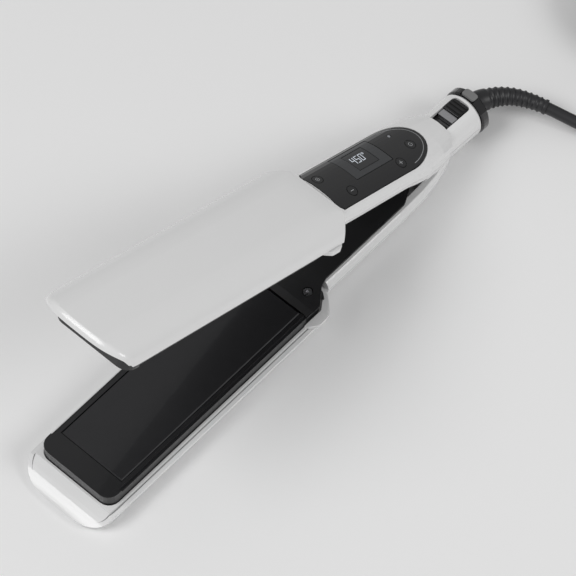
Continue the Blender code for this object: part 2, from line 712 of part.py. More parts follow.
def hinge_pin():
    return turned([(-11.2 * MM, 1.6 * MM), (-10.8 * MM, PIN_R), (10.8 * MM, PIN_R),
                   (11.2 * MM, 1.6 * MM)], 32, side_axis=True)


def pin_bore():
    return turned([(-30 * MM, BORE_R), (30 * MM, BORE_R)], 32, side_axis=True)


def hinge_bracket():
    """A bent steel U in the lower arm, whose two ears hold the pin."""
    ear_outline = [(5.0 * MM, -11.2 * MM), (-5.0 * MM, -11.2 * MM)]
    for i in range(13):
        angle = math.pi - math.pi * i / 12
        ear_outline.append((4.4 * MM * math.cos(angle), 4.4 * MM * math.sin(angle)))
    ears = [side_prism(ear_outline, 0.9 * MM, 1, centre) for centre in (-9.2 * MM, 9.2 * MM)]
    base = box(-5 * MM, 5 * MM, -10.1 * MM, 10.1 * MM, 10.2 * MM, 11.2 * MM, -1)
    return cut(join(base, *ears), pin_bore())


def hinge_knuckle():
    """The upper arm's half of the hinge: a barrel on a post, with the lock's hook."""
    post = side_prism([(4.2 * MM, 0), (3.2 * MM, 9 * MM), (3.2 * MM, 12.0 * MM), (-3.2 * MM, 12.0 * MM),
                       (-3.2 * MM, 9 * MM), (-4.2 * MM, 0)], 3.2 * MM)
    barrel = turned([(-4.6 * MM, 4.3 * MM), (4.6 * MM, 4.3 * MM)], 24, side_axis=True)
    return cut(join(post, barrel), pin_bore())


def latch_hook():
    arm = [(-3.6 * MM, 7.2 * MM), (-3.6 * MM, 9.4 * MM), (-18.2 * MM, 6.6 * MM), (-18.2 * MM, 4.6 * MM)]
    return side_prism(arm, 2.6 * MM)


def opening_spring(hand):
    """A torsion spring round the pin, beside the knuckle."""
    path = [Vector((3.2, hand * 5.2, -9.6)) * MM, Vector((3.2, hand * 5.2, -4.0)) * MM]
    steps = 12
    for i in range(2 * steps + 1):
        angle = 2 * math.pi * i / steps
        y = hand * (5.2 + 2.2 * i / (2 * steps))
        path.append(Vector((3.2 * math.cos(angle), y, 3.2 * math.sin(angle))) * MM)
    path.append(Vector((3.2, hand * 7.4, 4.6)) * MM)
    return tube(path, [0.42 * MM] * len(path), 6)


def lock_slider():
    pad = rounded([(-28.4 * MM, -4.7 * MM, 0.6 * MM), (-36.0 * MM, -4.7 * MM, 1.6 * MM),
                   (-36.0 * MM, 4.7 * MM, 1.6 * MM), (-28.4 * MM, 4.7 * MM, 0.6 * MM)])
    body = prism(pad, 5.6 * MM, 10.3 * MM)
    foot = box(-34.0 * MM, -22.2 * MM, -6.0 * MM, 6.0 * MM, 4.9 * MM, 6.3 * MM)
    tongue = box(-24.0 * MM, -19.8 * MM, -2.6 * MM, 2.6 * MM, 4.9 * MM, 5.9 * MM)
    ribs = [box(-(s + 1.1) * MM, -s * MM, -4.2 * MM, 4.2 * MM, 10.0 * MM, 10.9 * MM)
            for s in (29.6, 32.0, 34.2)]
    return move(join(body, foot, tongue, *ribs), Matrix.Rotation(NECK_TILT, 4, "Y"))


def lock_plate():
    body = prism(rounded([(-23.9 * MM, -4.4 * MM, 0.4 * MM), (-28.0 * MM, -4.4 * MM, 0.4 * MM),
                          (-28.0 * MM, 4.4 * MM, 0.4 * MM), (-23.9 * MM, 4.4 * MM, 0.4 * MM)]),
                 6.65 * MM, 9.3 * MM)
    return move(body, Matrix.Rotation(NECK_TILT, 4, "Y"))


# ---------------------------------------------------------------- control panel

def control_panel():
    body = panel_prism(0.0, -PANEL_THICK, 0.0)
    s0, s1, w0, w1 = DISPLAY
    cut(body, box(s0 - GAP, s1 + GAP, w0 - GAP, w1 + GAP, 8 * MM, 30 * MM))
    for s, w in BUTTONS.values():
        cut(body, upright_disc(s, w, BUTTON_R + 0.3 * MM, 8 * MM, 30 * MM))
    s, w = STATUS_LIGHT
    return cut(body, upright_disc(s, w, 0.8 * MM + 0.3 * MM, 8 * MM, 30 * MM, 12))


def display_frame():
    s0, s1, w0, w1 = DISPLAY
    body = crowned_slab(0, -2.2 * MM, -0.05 * MM, s1 + 3 * MM, s0 - 3 * MM)
    combine(body, box(s0, s1, w0, w1, 5 * MM, 30 * MM), "INTERSECT")
    a0, a1, b0, b1 = WINDOW
    return cut(body, box(a0 - 0.3 * MM, a1 + 0.3 * MM, b0 - 0.3 * MM, b1 + 0.3 * MM, 5 * MM, 30 * MM))


def display_window():
    a0, a1, b0, b1 = WINDOW
    body = crowned_slab(0, -1.4 * MM, -0.15 * MM, a1 + 3 * MM, a0 - 3 * MM)
    return combine(body, box(a0, a1, b0, b1, 5 * MM, 30 * MM), "INTERSECT")


def display_module():
    a0, a1, b0, b1 = WINDOW
    return box(a0 - 1.5 * MM, a1 + 1.5 * MM, b0 - 1 * MM, b1 + 0.6 * MM, 11.0 * MM, 12.7 * MM)


def circuit_board():
    body = box(13 * MM, 66 * MM, -11 * MM, 11 * MM, 9.2 * MM, 10.6 * MM)
    holes = [upright_disc(s * MM, w * MM, 1.2 * MM, 5 * MM, 20 * MM, 12)
             for s, w in ((16, 8.5), (63, 8.5), (63, -8.5))]
    return cut(body, *holes)


def control_chip():
    return box(22 * MM, 30 * MM, -4 * MM, 3 * MM, 7.2 * MM, 8.85 * MM)


def capacitor():
    return upright_disc(54 * MM, 5 * MM, 2.6 * MM, 6.2 * MM, 8.85 * MM, 16)


def button(s, w):
    """A round key in the panel, with a short stem; the mesh is about its own centre."""
    top = spine_top(s, w)
    low = spine_top(s, w) - 1.2 * MM
    body = crowned_slab(0, -1.15 * MM, 0.02 * MM, s + 5 * MM, s - 5 * MM)
    combine(body, upright_disc(s, w, BUTTON_R, 5 * MM, 30 * MM), "INTERSECT")
    stem = upright_disc(s, w, BUTTON_R - 1.2 * MM, 11.6 * MM, low + 0.6 * MM, 12)
    join(body, stem)
    return move(body, Matrix.Translation((s, -w, -top))), Vector((-s, w, top))


def status_light():
    s, w = STATUS_LIGHT
    return upright_disc(s, w, 0.8 * MM, spine_top(s, w) - 1.3 * MM, spine_top(s, w) - 0.1 * MM, 12)


# ---------------------------------------------------------------- cord and plug

def floor_z():
    """Height of the table under the iron, counted from the hinge axis."""
    return -HINGE_Z


def strain_route():
    table = floor_z() / MM
    return [(45.9, 0.0, -4.55), (48.2, -0.1, -4.75), (51.7, -1.1, -5.1), (58.6, -4.9, -5.9), (64.2, -10.3, -6.9),
            (68.3, -17.2, -8.1), (71.4, -25.2, table + 8.6)]


def cord_route():
    table = floor_z() / MM
    low = CORD_R / MM + 1.2
    return [(72.0, -27.5, table + 8.2), (74.5, -35.5, table + 6.4), (76.9, -44.0, table + 5.0),
            (80.4, -54.0, table + low + 0.2), (87.0, -62.6, table + low), (97.0, -68.6, table + low),
            (110.0, -71.4, table + low), (124.0, -71.6, table + low), (136.0, -71.4, table + low)]


def world(point):
    """A point given in millimetres from the hinge axis, as a vector in metres."""
    return Vector(point) * MM


def strain_relief():
    path = smooth_path([world(p) for p in strain_route()], 2.6 * MM)
    count = len(path) - 1
    radii = [(6.0 - 2.3 * (i / count) ** 0.8) * MM for i in range(count + 1)]
    return tube(path, radii, 14)


def cord_curve(name, points, spacing, material, parent):
    """A round cord along a smooth path, with its ends filled."""
    path = smooth_path(points, spacing)
    curve = bpy.data.curves.new(name, "CURVE")
    curve.dimensions = "3D"
    curve.bevel_depth = CORD_R
    curve.bevel_resolution = 2
    curve.use_fill_caps = True
    spline = curve.splines.new("POLY")
    spline.points.add(len(path) - 1)
    for knot, point in zip(spline.points, path):
        knot.co = (*point, 1.0)
    cord = bpy.data.objects.new(name, curve)
    curve.materials.append(material)
    bpy.context.scene.collection.objects.link(cord)
    cord.parent = parent
    return cord


def coil_centre():
    return Vector((COIL_X - HINGE_X, COIL_Y, 0))


def cord_coil():
    """The outer shape of the wound cord: a ring of four layers, three turns wide."""
    half = COIL_COLUMNS * CORD_R + 0.2 * MM
    low = floor_z() + TIE_THICK + 0.3 * MM
    high = low + COIL_LAYERS * 2 * CORD_R + 0.2 * MM
    outline = [(COIL_MEAN - half, low + 2 * MM), (COIL_MEAN - half + 2 * MM, low),
               (COIL_MEAN + half - 2 * MM, low), (COIL_MEAN + half, low + 2 * MM),
               (COIL_MEAN + half, high - 2 * MM), (COIL_MEAN + half - 2 * MM, high),
               (COIL_MEAN - half + 2 * MM, high), (COIL_MEAN - half, high - 2 * MM)]
    segments = 40
    bm = bmesh.new()
    rows = []
    for i in range(segments):
        turn = Matrix.Rotation(2 * math.pi * i / segments, 3, "Z")
        rows.append([bm.verts.new(coil_centre() + turn @ Vector((r, 0, z))) for r, z in outline])
    for near, far in zip(rows, rows[1:] + rows[:1]):
        for k in range(len(outline)):
            j = (k + 1) % len(outline)
            bm.faces.new((near[k], near[j], far[j], far[k]))
    return from_bmesh(bm)


def cord_tie():
    """A fabric strap round the wound cord, on its far side."""
    half = COIL_COLUMNS * CORD_R + 1.1 * MM
    low = floor_z()
    high = low + COIL_LAYERS * 2 * CORD_R + 2 * TIE_THICK + 0.8 * MM
    reach = half + TIE_THICK
    outer = prism([(-COIL_MEAN + reach, -5 * MM), (-COIL_MEAN - reach, -5 * MM),
                   (-COIL_MEAN - reach, 5 * MM), (-COIL_MEAN + reach, 5 * MM)], low, high)
    inner = prism([(-COIL_MEAN + half, -9 * MM), (-COIL_MEAN - half, -9 * MM),
                   (-COIL_MEAN - half, 9 * MM), (-COIL_MEAN + half, 9 * MM)],
                  low + TIE_THICK, high - TIE_THICK)
    cut(outer, inner)
    turn = Matrix.Rotation(math.radians(90), 4, "Z")
    return move(outer, Matrix.Translation(coil_centre()) @ turn)


def tail_route():
    """The cord's far end: up from the coil's top layer and along it into the plug."""
    table = floor_z() / MM
    x, y = (coil_centre() / MM).xy
    route = [(26.4, -27.3, 29.0), (29.8, -23.4, 31.3), (32.2, -19.2, 32.7), (33.0, -15.6, 33.2),
             (COIL_MEAN / MM, PLUG_START - 6.5, PLUG_HEIGHT)]
    return [(x + dx, y + dy, table + z) for dx, dy, z in route]


def plug_place():
    """The plug lies on the coil, pointing away along Y."""
    offset = Vector((COIL_MEAN, PLUG_START * MM, floor_z() + PLUG_HEIGHT * MM))
    return Matrix.Translation(coil_centre() + offset) @ Matrix.Rotation(math.pi / 2, 4, "Z")


def plug_body():
    """A flat two-blade plug: a ribbed neck that widens to a rounded body."""
    sections = [(-5.8, 3.6, 3.6), (1.0, 4.4, 4.2), (4.0, 6.4, 5.4), (8.0, 9.6, 7.0), (16.0, 11.2, 7.4),
                (25.0, 11.6, 7.4), (27.0, 10.8, 6.8)]
    rings = [ellipse_ring(x * MM, a * MM, 0.0, b * MM, 3.0, 1, 20) for x, a, b in sections]
    return move(loft(rings), plug_place())


def plug_blade(hand):
    blade = box(-44.6 * MM, -27.3 * MM, (hand * 6.35 - 0.75) * MM, (hand * 6.35 + 0.75) * MM,
                -3.15 * MM, 3.15 * MM)
    return move(blade, plug_place())


# ---------------------------------------------------------------- assembly

def empty(name, location, rotation=(0, 0, 0), parent=None):
    made = bpy.data.objects.new(name, None)
    made.location = location
    made.rotation_euler = rotation
    made.parent = parent
    bpy.context.scene.collection.objects.link(made)
    return made


def build_arm(name, flip, parent, colours):
    """The pieces that both arms share; flip turns the upper arm's into the lower arm's."""
    pieces = (
        ("cover", cover, "white_gloss"),
        ("frame", frame, "white_gloss"),
        ("heat_surround", surround, "heat_black"),
        ("hot_plate", plate, "plate_ceramic"),
        ("heater", heater, "heater_ceramic"),
        ("plate_cushion", cushion, "silicone"),
        ("heater_lead", heater_lead, "lead_red"),
        ("inner_cover", inner_cover, "black_satin"),
    )
    for piece, make, colour in pieces:
        finish(f"{name}_{piece}", move(make(), flip), colours[colour], parent)
    for place, hand in HANDS:
        finish(f"{name}_screw_{place}", move(screw(hand), flip), colours["steel"], parent)


def build_lower(parent, colours):
    pieces = (
        ("lower_handle_shell", lower_shell, "white_gloss"),
        ("neck_cap", neck_cap, "white_gloss"),
        ("collar", collar, "black_gloss"),
        ("collar_pad", collar_pad, "pad_grey"),
        ("swivel_stem", swivel_stem, "black_satin"),
        ("slip_ring", slip_ring, "brass"),
        ("brush_block", brush_block, "component_black"),
        ("hinge_pin", hinge_pin, "steel"),
        ("hinge_bracket", hinge_bracket, "steel"),
        ("lock_slider", lock_slider, "black_satin"),
        ("lock_plate", lock_plate, "steel"),
        ("strain_relief", strain_relief, "cord_black"),
        ("cord_coil", cord_coil, "cord_black"),
        ("cord_tie", cord_tie, "black_satin"),
        ("plug_body", plug_body, "cord_black"),
    )
    for name, make, colour in pieces:
        finish(name, make(), colours[colour], parent)
    for place, hand in HANDS:
        finish(f"opening_spring_{place}", opening_spring(hand), colours["spring_steel"], parent)
        finish(f"plug_blade_{place}", plug_blade(hand), colours["brass"], parent)
    cord_curve("cord_lead", [world(p) for p in cord_route()], 10 * MM, colours["cord_black"], parent)
    cord_curve("cord_tail", [world(p) for p in tail_route()], 3.5 * MM, colours["cord_black"], parent)


def build_upper(parent, colours):
    pieces = (
        ("upper_handle_shell", upper_shell, "white_gloss"),
        ("hinge_knuckle", hinge_knuckle, "steel"),
        ("latch_hook", latch_hook, "steel"),
        ("control_panel", control_panel, "black_gloss"),
        ("display_frame", display_frame, "display_grey"),
        ("display_window", display_window, "display_glass"),
        ("display_module", display_module, "component_black"),
        ("circuit_board", circuit_board, "circuit_board"),
        ("control_chip", control_chip, "component_black"),
        ("capacitor", capacitor, "component_black"),
        ("status_light", status_light, "light_lens"),
    )
    for name, make, colour in pieces:
        finish(name, make(), colours[colour], parent)
    for name, (s, w) in BUTTONS.items():
        shape, centre = button(s, w)
        finish(name, shape, colours["black_gloss"], parent)
        shape.location = centre


def main():
    clear_scene()
    colours = make_materials()
    lower = empty("lower_arm", (HINGE_X, 0, HINGE_Z))
    upper = empty("upper_arm", (0, 0, 0), (0, OPEN_ANGLE, 0), lower)
    build_arm("lower", Matrix.Diagonal((1, 1, -1, 1)), lower, colours)
    build_arm("upper", Matrix.Identity(4), upper, colours)
    build_lower(lower, colours)
    build_upper(upper, colours)


main()
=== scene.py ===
# %% [markdown]
# # Hair straightening iron
# A white two-arm iron that lies open on a table, with its cord wound up beside it.
#
# Each arm is described closed, around the hinge axis. Three numbers place a point:
# `s` runs from the hinge axis towards the tips, `w` runs across the arm, and `h` is the
# height above the plane where the two hot plates meet. `UPPER` and `LOWER` then carry a
# shape to its place on the iron.

# %% Load the frame
import json
import math

import bmesh
import bpy
from mathutils import Matrix, Vector


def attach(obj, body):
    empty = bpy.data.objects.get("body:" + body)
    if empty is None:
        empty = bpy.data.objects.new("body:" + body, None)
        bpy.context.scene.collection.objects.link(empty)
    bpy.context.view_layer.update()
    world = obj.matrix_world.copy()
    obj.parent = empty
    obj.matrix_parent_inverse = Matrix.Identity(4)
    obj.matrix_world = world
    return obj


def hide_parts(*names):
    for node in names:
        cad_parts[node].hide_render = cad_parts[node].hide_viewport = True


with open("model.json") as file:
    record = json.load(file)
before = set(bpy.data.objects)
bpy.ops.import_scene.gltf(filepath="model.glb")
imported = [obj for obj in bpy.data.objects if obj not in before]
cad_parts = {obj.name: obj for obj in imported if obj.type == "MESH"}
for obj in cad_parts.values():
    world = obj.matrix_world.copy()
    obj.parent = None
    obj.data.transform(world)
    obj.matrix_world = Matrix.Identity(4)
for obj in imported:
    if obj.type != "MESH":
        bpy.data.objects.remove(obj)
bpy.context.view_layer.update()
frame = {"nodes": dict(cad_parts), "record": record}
nodes = frame["nodes"]

MM = 0.001
HINGE = Vector((99.1, 0.0, 17.9)) * MM
OPEN_ANGLE = math.radians(22.7)
UPPER = Matrix.Translation(HINGE) @ Matrix.Rotation(OPEN_ANGLE, 4, "Y")
LOWER = Matrix.Translation(HINGE) @ Matrix.Diagonal((1, 1, -1, 1))
print("CAD nodes:", len(nodes))

# %% [markdown]
# ## Camera
# A product is usually seen through a long lens, which keeps its far end from shrinking.
# The camera could be placed by hand, but angles and a distance around one target say
# where it stands and are easy to change, so its three directions are worked out here.

# %% Camera
CAMERA_AZIMUTH = math.radians(-46.437)
CAMERA_ELEVATION = math.radians(57.74)
CAMERA_ROLL = math.radians(-1.408)
CAMERA_DISTANCE = 1.625662
CAMERA_TARGET = HINGE + Vector((-92.784, -5.562, 0.0)) * MM
CAMERA_LENS = 218.35
SENSOR_WIDTH = 36.0
CLIP_START = 0.05


def add_camera():
    sin_a, cos_a = math.sin(CAMERA_AZIMUTH), math.cos(CAMERA_AZIMUTH)
    sin_e, cos_e = math.sin(CAMERA_ELEVATION), math.cos(CAMERA_ELEVATION)
    back = Vector((sin_a * cos_e, -cos_a * cos_e, sin_e))
    right = Vector((cos_a, sin_a, 0.0))
    up = back.cross(right)
    tilted_right = right * math.cos(CAMERA_ROLL) + up * math.sin(CAMERA_ROLL)
    tilted_up = up * math.cos(CAMERA_ROLL) - right * math.sin(CAMERA_ROLL)
    turn = Matrix((tilted_right, tilted_up, back)).transposed().to_4x4()
    data = bpy.data.cameras.new("camera")
    data.sensor_width = SENSOR_WIDTH
    data.lens = CAMERA_LENS
    data.clip_start = CLIP_START
    camera = bpy.data.objects.new("camera", data)
    camera.matrix_world = Matrix.Translation(CAMERA_TARGET + back * CAMERA_DISTANCE) @ turn
    bpy.context.scene.collection.objects.link(camera)
    bpy.context.scene.camera = camera


add_camera()
print("camera lens:", CAMERA_LENS, "mm")

# %% [markdown]
# ## Shape helpers
# Moulded parts are shells, sleeves and bars. Rings of points joined one to the next make
# the round ones, and an outline pushed along a line makes the straight ones. The rings
# are worked out from curves because these sections change along their length.

# %% Shape helpers
CURVE_STEPS = 30
BEVEL_SEGMENTS = 3


def from_bmesh(bm, name="shape"):
    bmesh.ops.recalc_face_normals(bm, faces=bm.faces)
    mesh = bpy.data.meshes.new(name)
    bm.to_mesh(mesh)
    bm.free()
    shape = bpy.data.objects.new(name, mesh)
    bpy.context.scene.collection.objects.link(shape)
    return shape


def applied(shape):
    """Replace a shape's mesh by what its modifiers make of it."""
    graph = bpy.context.evaluated_depsgraph_get()
    mesh = bpy.data.meshes.new_from_object(shape.evaluated_get(graph))
    shape.modifiers.clear()
    shape.data = mesh
    return shape


def cut(target, tool):
    """Take one shape out of another, and remove the tool."""
    modifier = target.modifiers.new("cut", "BOOLEAN")
    modifier.operation = "DIFFERENCE"
    modifier.object = tool
    modifier.solver = "EXACT"
    applied(target)
    bpy.data.objects.remove(tool)
    return target


def extruded(ring, step):
    bm = bmesh.new()
    face = bm.faces.new([bm.verts.new(point) for point in ring])
    moved = bmesh.ops.extrude_face_region(bm, geom=[face])["geom"]
    bmesh.ops.translate(bm, verts=[v for v in moved if isinstance(v, bmesh.types.BMVert)], vec=step)
    return from_bmesh(bm)


def side_prism(outline, half):
    """Extrude a side outline of (s, h) points across the arm."""
    return extruded([(-s, -half, h) for s, h in outline], (0, 2 * half, 0))


def loft(rings):
    """Skin rings of equal length, and close both ends."""
    bm = bmesh.new()
    rows = [[bm.verts.new(point) for point in ring] for ring in rings]
    count = len(rows[0])
    for near, far in zip(rows, rows[1:]):
        for i in range(count):
            j = (i + 1) % count
            bm.faces.new((near[i], near[j], far[j], far[i]))
    bm.faces.new(rows[0])
    bm.faces.new(rows[-1])
    return from_bmesh(bm)


def smooth_path(points, spacing):
    """Evenly spaced points on a smooth curve through a route."""
    fine = []
    ends = [2 * points[0] - points[1], *points, 2 * points[-1] - points[-2]]
    for a, b, c, d in zip(ends, ends[1:], ends[2:], ends[3:]):
        for i in range(CURVE_STEPS):
            t = i / CURVE_STEPS
            fine.append(0.5 * ((2 * b) + (c - a) * t + (2 * a - 5 * b + 4 * c - d) * t**2
                               + (3 * b - a - 3 * c + d) * t**3))
    fine.append(points[-1].copy())
    lengths = [0.0]
    for a, b in zip(fine, fine[1:]):
        lengths.append(lengths[-1] + (b - a).length)
    count = max(2, round(lengths[-1] / spacing))
    path, k = [fine[0].copy()], 1
    for i in range(1, count):
        goal = lengths[-1] * i / count
        while lengths[k] < goal:
            k += 1
        path.append(fine[k - 1].lerp(fine[k], (goal - lengths[k - 1]) / (lengths[k] - lengths[k - 1])))
    return path + [fine[-1].copy()]


def tube(path, radii, sides=32):
    rings = []
    for i, point in enumerate(path):
        ahead = path[min(i + 1, len(path) - 1)] - path[max(i - 1, 0)]
        turn = ahead.to_track_quat("X", "Z")
        angles = [2 * math.pi * k / sides for k in range(sides)]
        rings.append([point + turn @ (Vector((0, math.cos(a), math.sin(a))) * radii[i]) for a in angles])
    return loft(rings)


def signed_power(value, power):
    return math.copysign(abs(value) ** power, value)


def soften(shape, width, angle):
    """Round off the sharp edges of a shape."""
    modifier = shape.modifiers.new("soften", "BEVEL")
    modifier.width = width
    modifier.segments = BEVEL_SEGMENTS
    modifier.limit_method = "ANGLE"
    modifier.angle_limit = math.radians(angle)
    modifier.use_clamp_overlap = True
    return applied(shape)


# %% [markdown]
# ## Materials
# The iron is glossy white and black plastic with satin, ceramic and metal parts. Flat
# colours would look like paint chips, and images would tie the parts to one size, so each
# finish drifts a little with object coordinates. A small class lets shader maths be
# written as ordinary arithmetic, and one function makes every node.

# %% Shader helpers
GRAIN_SCALE, GRAIN_DETAIL, GRAIN_HEIGHT = 2600.0, 3.0, 0.00006
DRIFT_SCALE, DRIFT_DETAIL = 90.0, 2.0
ROUGHNESS_BASE, ROUGHNESS_SWING = 0.85, 0.3


def add_node(tree, kind, settings, sockets):
    """Make one node: its settings first, then the value or link of each socket."""
    node = tree.nodes.new(kind)
    for name, value in settings.items():
        setattr(node, name, value)
    for name, value in sockets.items():
        if isinstance(value, bpy.types.NodeSocket):
            tree.links.new(value, node.inputs[name])
        else:
            node.inputs[name].default_value = value
    return node


class Field:
    """A number inside a material, which can be added, multiplied and so on."""

    def __init__(self, tree, socket):
        self.tree, self.socket = tree, socket

    def math(self, operation, other):
        value = other.socket if isinstance(other, Field) else other
        node = add_node(self.tree, "ShaderNodeMath", {"operation": operation}, {0: self.socket, 1: value})
        return Field(self.tree, node.outputs[0])

    def __add__(self, other):
        return self.math("ADD", other)

    def __mul__(self, other):
        return self.math("MULTIPLY", other)

    __radd__ = __add__
    __rmul__ = __mul__


class Paint:
    """A material under construction."""

    def __init__(self, name, colour, roughness, metallic=0.0, coat=0.0):
        self.material = bpy.data.materials.new(name)
        self.material.use_nodes = True
        self.tree = self.material.node_tree
        self.shader = self.tree.nodes["Principled BSDF"]
        self.set("Base Color", (*colour, 1.0))
        self.set("Roughness", roughness)
        self.set("Metallic", metallic)
        self.set("Coat Weight", coat)
        self.coordinates = self.tree.nodes.new("ShaderNodeTexCoord").outputs["Object"]

    def set(self, name, value):
        self.shader.inputs[name].default_value = value

    def noise(self, scale, detail=DRIFT_DETAIL):
        node = add_node(self.tree, "ShaderNodeTexNoise", {},
                        {"Scale": scale, "Detail": detail, "Vector": self.coordinates})
        return Field(self.tree, node.outputs["Fac"])

    def drive(self, name, field):
        self.tree.links.new(field.socket, self.shader.inputs[name])
        return self

    def tint(self, field, low, high):
        """Mix two colours by a field."""
        node = add_node(self.tree, "ShaderNodeMix", {"data_type": "RGBA"},
                        {"Factor": field.socket, "A": (*low, 1.0), "B": (*high, 1.0)})
        self.tree.links.new(node.outputs["Result"], self.shader.inputs["Base Color"])
        return self

    def bump(self, field, strength, distance):
        node = add_node(self.tree, "ShaderNodeBump", {},
                        {"Strength": strength, "Distance": distance, "Height": field.socket})
        self.tree.links.new(node.outputs["Normal"], self.shader.inputs["Normal"])
        return self


def varied(name, colour, roughness, metallic=0.0, coat=0.0, spread=0.05, grain=0.0):
    """A finish whose colour and roughness drift slightly, with an optional fine grain."""
    paint = Paint(name, colour, roughness, metallic, coat)
    drift = paint.noise(DRIFT_SCALE)
    paint.tint(drift, [c * (1 - spread) for c in colour], [min(1.0, c * (1 + spread)) for c in colour])
    paint.drive("Roughness", drift * (roughness * ROUGHNESS_SWING) + roughness * ROUGHNESS_BASE)
    if grain:
        paint.bump(paint.noise(GRAIN_SCALE, GRAIN_DETAIL), grain, GRAIN_HEIGHT)
    return paint


# %% Finishes
def make_paints():
    paints = {
        "white_gloss": varied("white_gloss_look", (0.84, 0.84, 0.84), 0.22, coat=0.5, spread=0.006),
        "black_gloss": varied("black_gloss_look", (0.006, 0.006, 0.007), 0.09, coat=0.6, spread=0.1),
        "black_satin": varied("black_satin_look", (0.014, 0.014, 0.015), 0.42, grain=0.25),
        "heat_black": varied("heat_black_look", (0.011, 0.011, 0.012), 0.33, coat=0.2, grain=0.12),
        "plate_ceramic": varied("plate_ceramic_look", (0.030, 0.030, 0.032), 0.24, metallic=0.4, coat=0.3),
        "display_grey": varied("display_grey_look", (0.040, 0.042, 0.045), 0.30, coat=0.3),
        "display_glass": varied("display_glass_look", (0.004, 0.005, 0.007), 0.05, coat=1.0),
        "pad_grey": varied("pad_grey_look", (0.20, 0.20, 0.20), 0.45, grain=0.2),
        "steel": varied("steel_look", (0.60, 0.60, 0.62), 0.28, metallic=1.0),
        "spring_steel": varied("spring_steel_look", (0.42, 0.42, 0.44), 0.35, metallic=1.0),
        "brass": varied("brass_look", (0.74, 0.55, 0.25), 0.28, metallic=1.0),
        "silicone": varied("silicone_look", (0.50, 0.13, 0.08), 0.6, grain=0.2),
        "circuit_board": varied("circuit_board_look", (0.02, 0.15, 0.06), 0.4, coat=0.3),
        "component_black": varied("component_look", (0.02, 0.02, 0.02), 0.5, grain=0.2),
        "heater_ceramic": varied("heater_look", (0.75, 0.73, 0.67), 0.6, grain=0.3),
        "lead_red": varied("lead_look", (0.42, 0.03, 0.02), 0.5, grain=0.1),
        "cord_black": varied("cord_look", (0.022, 0.022, 0.024), 0.42, grain=0.2),
        "light_lens": varied("light_lens_look", (0.30, 0.31, 0.33), 0.2, coat=0.5),
    }
    return {name: paint.material for name, paint in paints.items()}


MATERIALS = make_paints()
mark = Paint("mark_look", (0.42, 0.43, 0.44), 0.5)
MATERIALS["mark"] = mark.tint(mark.noise(400.0), (0.38, 0.39, 0.40), (0.46, 0.47, 0.48)).material
glow = Paint("digit_look", (0.55, 0.58, 0.62), 0.4)
glow.tint(glow.noise(300.0), (0.50, 0.53, 0.57), (0.60, 0.63, 0.67))
glow.set("Emission Color", (0.75, 0.82, 0.9, 1.0))
glow.set("Emission Strength", 0.35)
MATERIALS["digit"] = glow.material

node_slots = {part["node"]: part["material_slot"] for part in frame["record"]["subparts"]}
for node_name, node_slot in node_slots.items():
    nodes[node_name].data.materials.clear()
    nodes[node_name].data.materials.append(MATERIALS[node_slot])
print("finishes:", len(MATERIALS))


# %% Place a piece
def piece(name, shape, place, slot, body, replaced=(), look=None, smooth=34.0):
    """Put a finished shape in its place, give it its look, attach it to its body and hide the parts it
    replaces.
    """
    shape.name = name
    shape.data.name = name
    if place is not None:
        shape.data.transform(place)
        if place.determinant() < 0:
            shape.data.flip_normals()
    shape.data.materials.clear()
    shape.data.materials.append(MATERIALS[look or slot])
    shape.data.shade_smooth()
    shape.data.set_sharp_from_angle(angle=math.radians(smooth))
    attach(shape, body)
    if replaced:
        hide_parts(*replaced)
    return shape


# %% [markdown]
# ## Cord
# One cord of 2.6 m: out of the strain relief, down onto the table, twelve turns in a neat
# coil three wide and four high, and up onto the coil to the plug, which lies on it.
# It could be simulated, but a route of fixed length through a curve object gives the same
# cord on every run, at its real thickness.

# %% Cord and plug
CORD_R = 3.0 * MM
COIL = Vector((258.0, -32.0, 0.0)) * MM
COIL_MEAN = 33.0 * MM
COIL_BASE = 4.2 * MM
CORD_PITCH = 6.0 * MM
TURN_POINTS = 16
PLUG = Matrix.Translation(COIL + Vector((33.0, -6.0, 33.2)) * MM) @ Matrix.Rotation(math.pi / 2, 4, "Z")
COIL_START, COIL_TURNS = math.radians(-90), 11.97
LANE_CHANGE = 0.72
PATH_SPACING = 7 * MM


def from_hinge(points, floor=False):
    """Route points in millimetres, whose heights count from the hinge axis or the table."""
    drop = Vector((0, 0, -HINGE.z)) if floor else Vector()
    return [HINGE + drop + Vector(p) * MM for p in points]


strain_route = from_hinge([(45.9, 0.0, -4.55), (48.2, -0.1, -4.75), (51.7, -1.1, -5.1),
                           (58.6, -4.9, -5.9), (64.2, -10.3, -6.9), (68.3, -17.2, -8.1),
                           (71.4, -25.2, -9.3)])
lead_route = from_hinge([(70.9, -24.0, 8.75), (72.0, -27.5, 8.2), (74.5, -35.5, 6.4), (76.9, -44.0, 5.0),
                         (80.4, -54.0, 4.4), (87.0, -62.6, 4.2), (97.0, -68.6, 4.2),
                         (110.0, -71.4, 4.2), (124.0, -71.6, 4.2), (136.0, -71.4, 4.2),
                         (150.0, -71.1, 4.2)], floor=True)
tail_route = [COIL + Vector(p) * MM for p in [
    (-6.8, -38.4, 22.2), (3.0, -38.9, 22.7), (12.5, -36.8, 24.4), (20.4, -32.5, 26.8), (26.4, -27.3, 29.2),
    (29.8, -23.4, 31.3), (32.2, -19.2, 32.7), (33.0, -15.6, 33.2), (33.0, -9.0, 33.2)]]


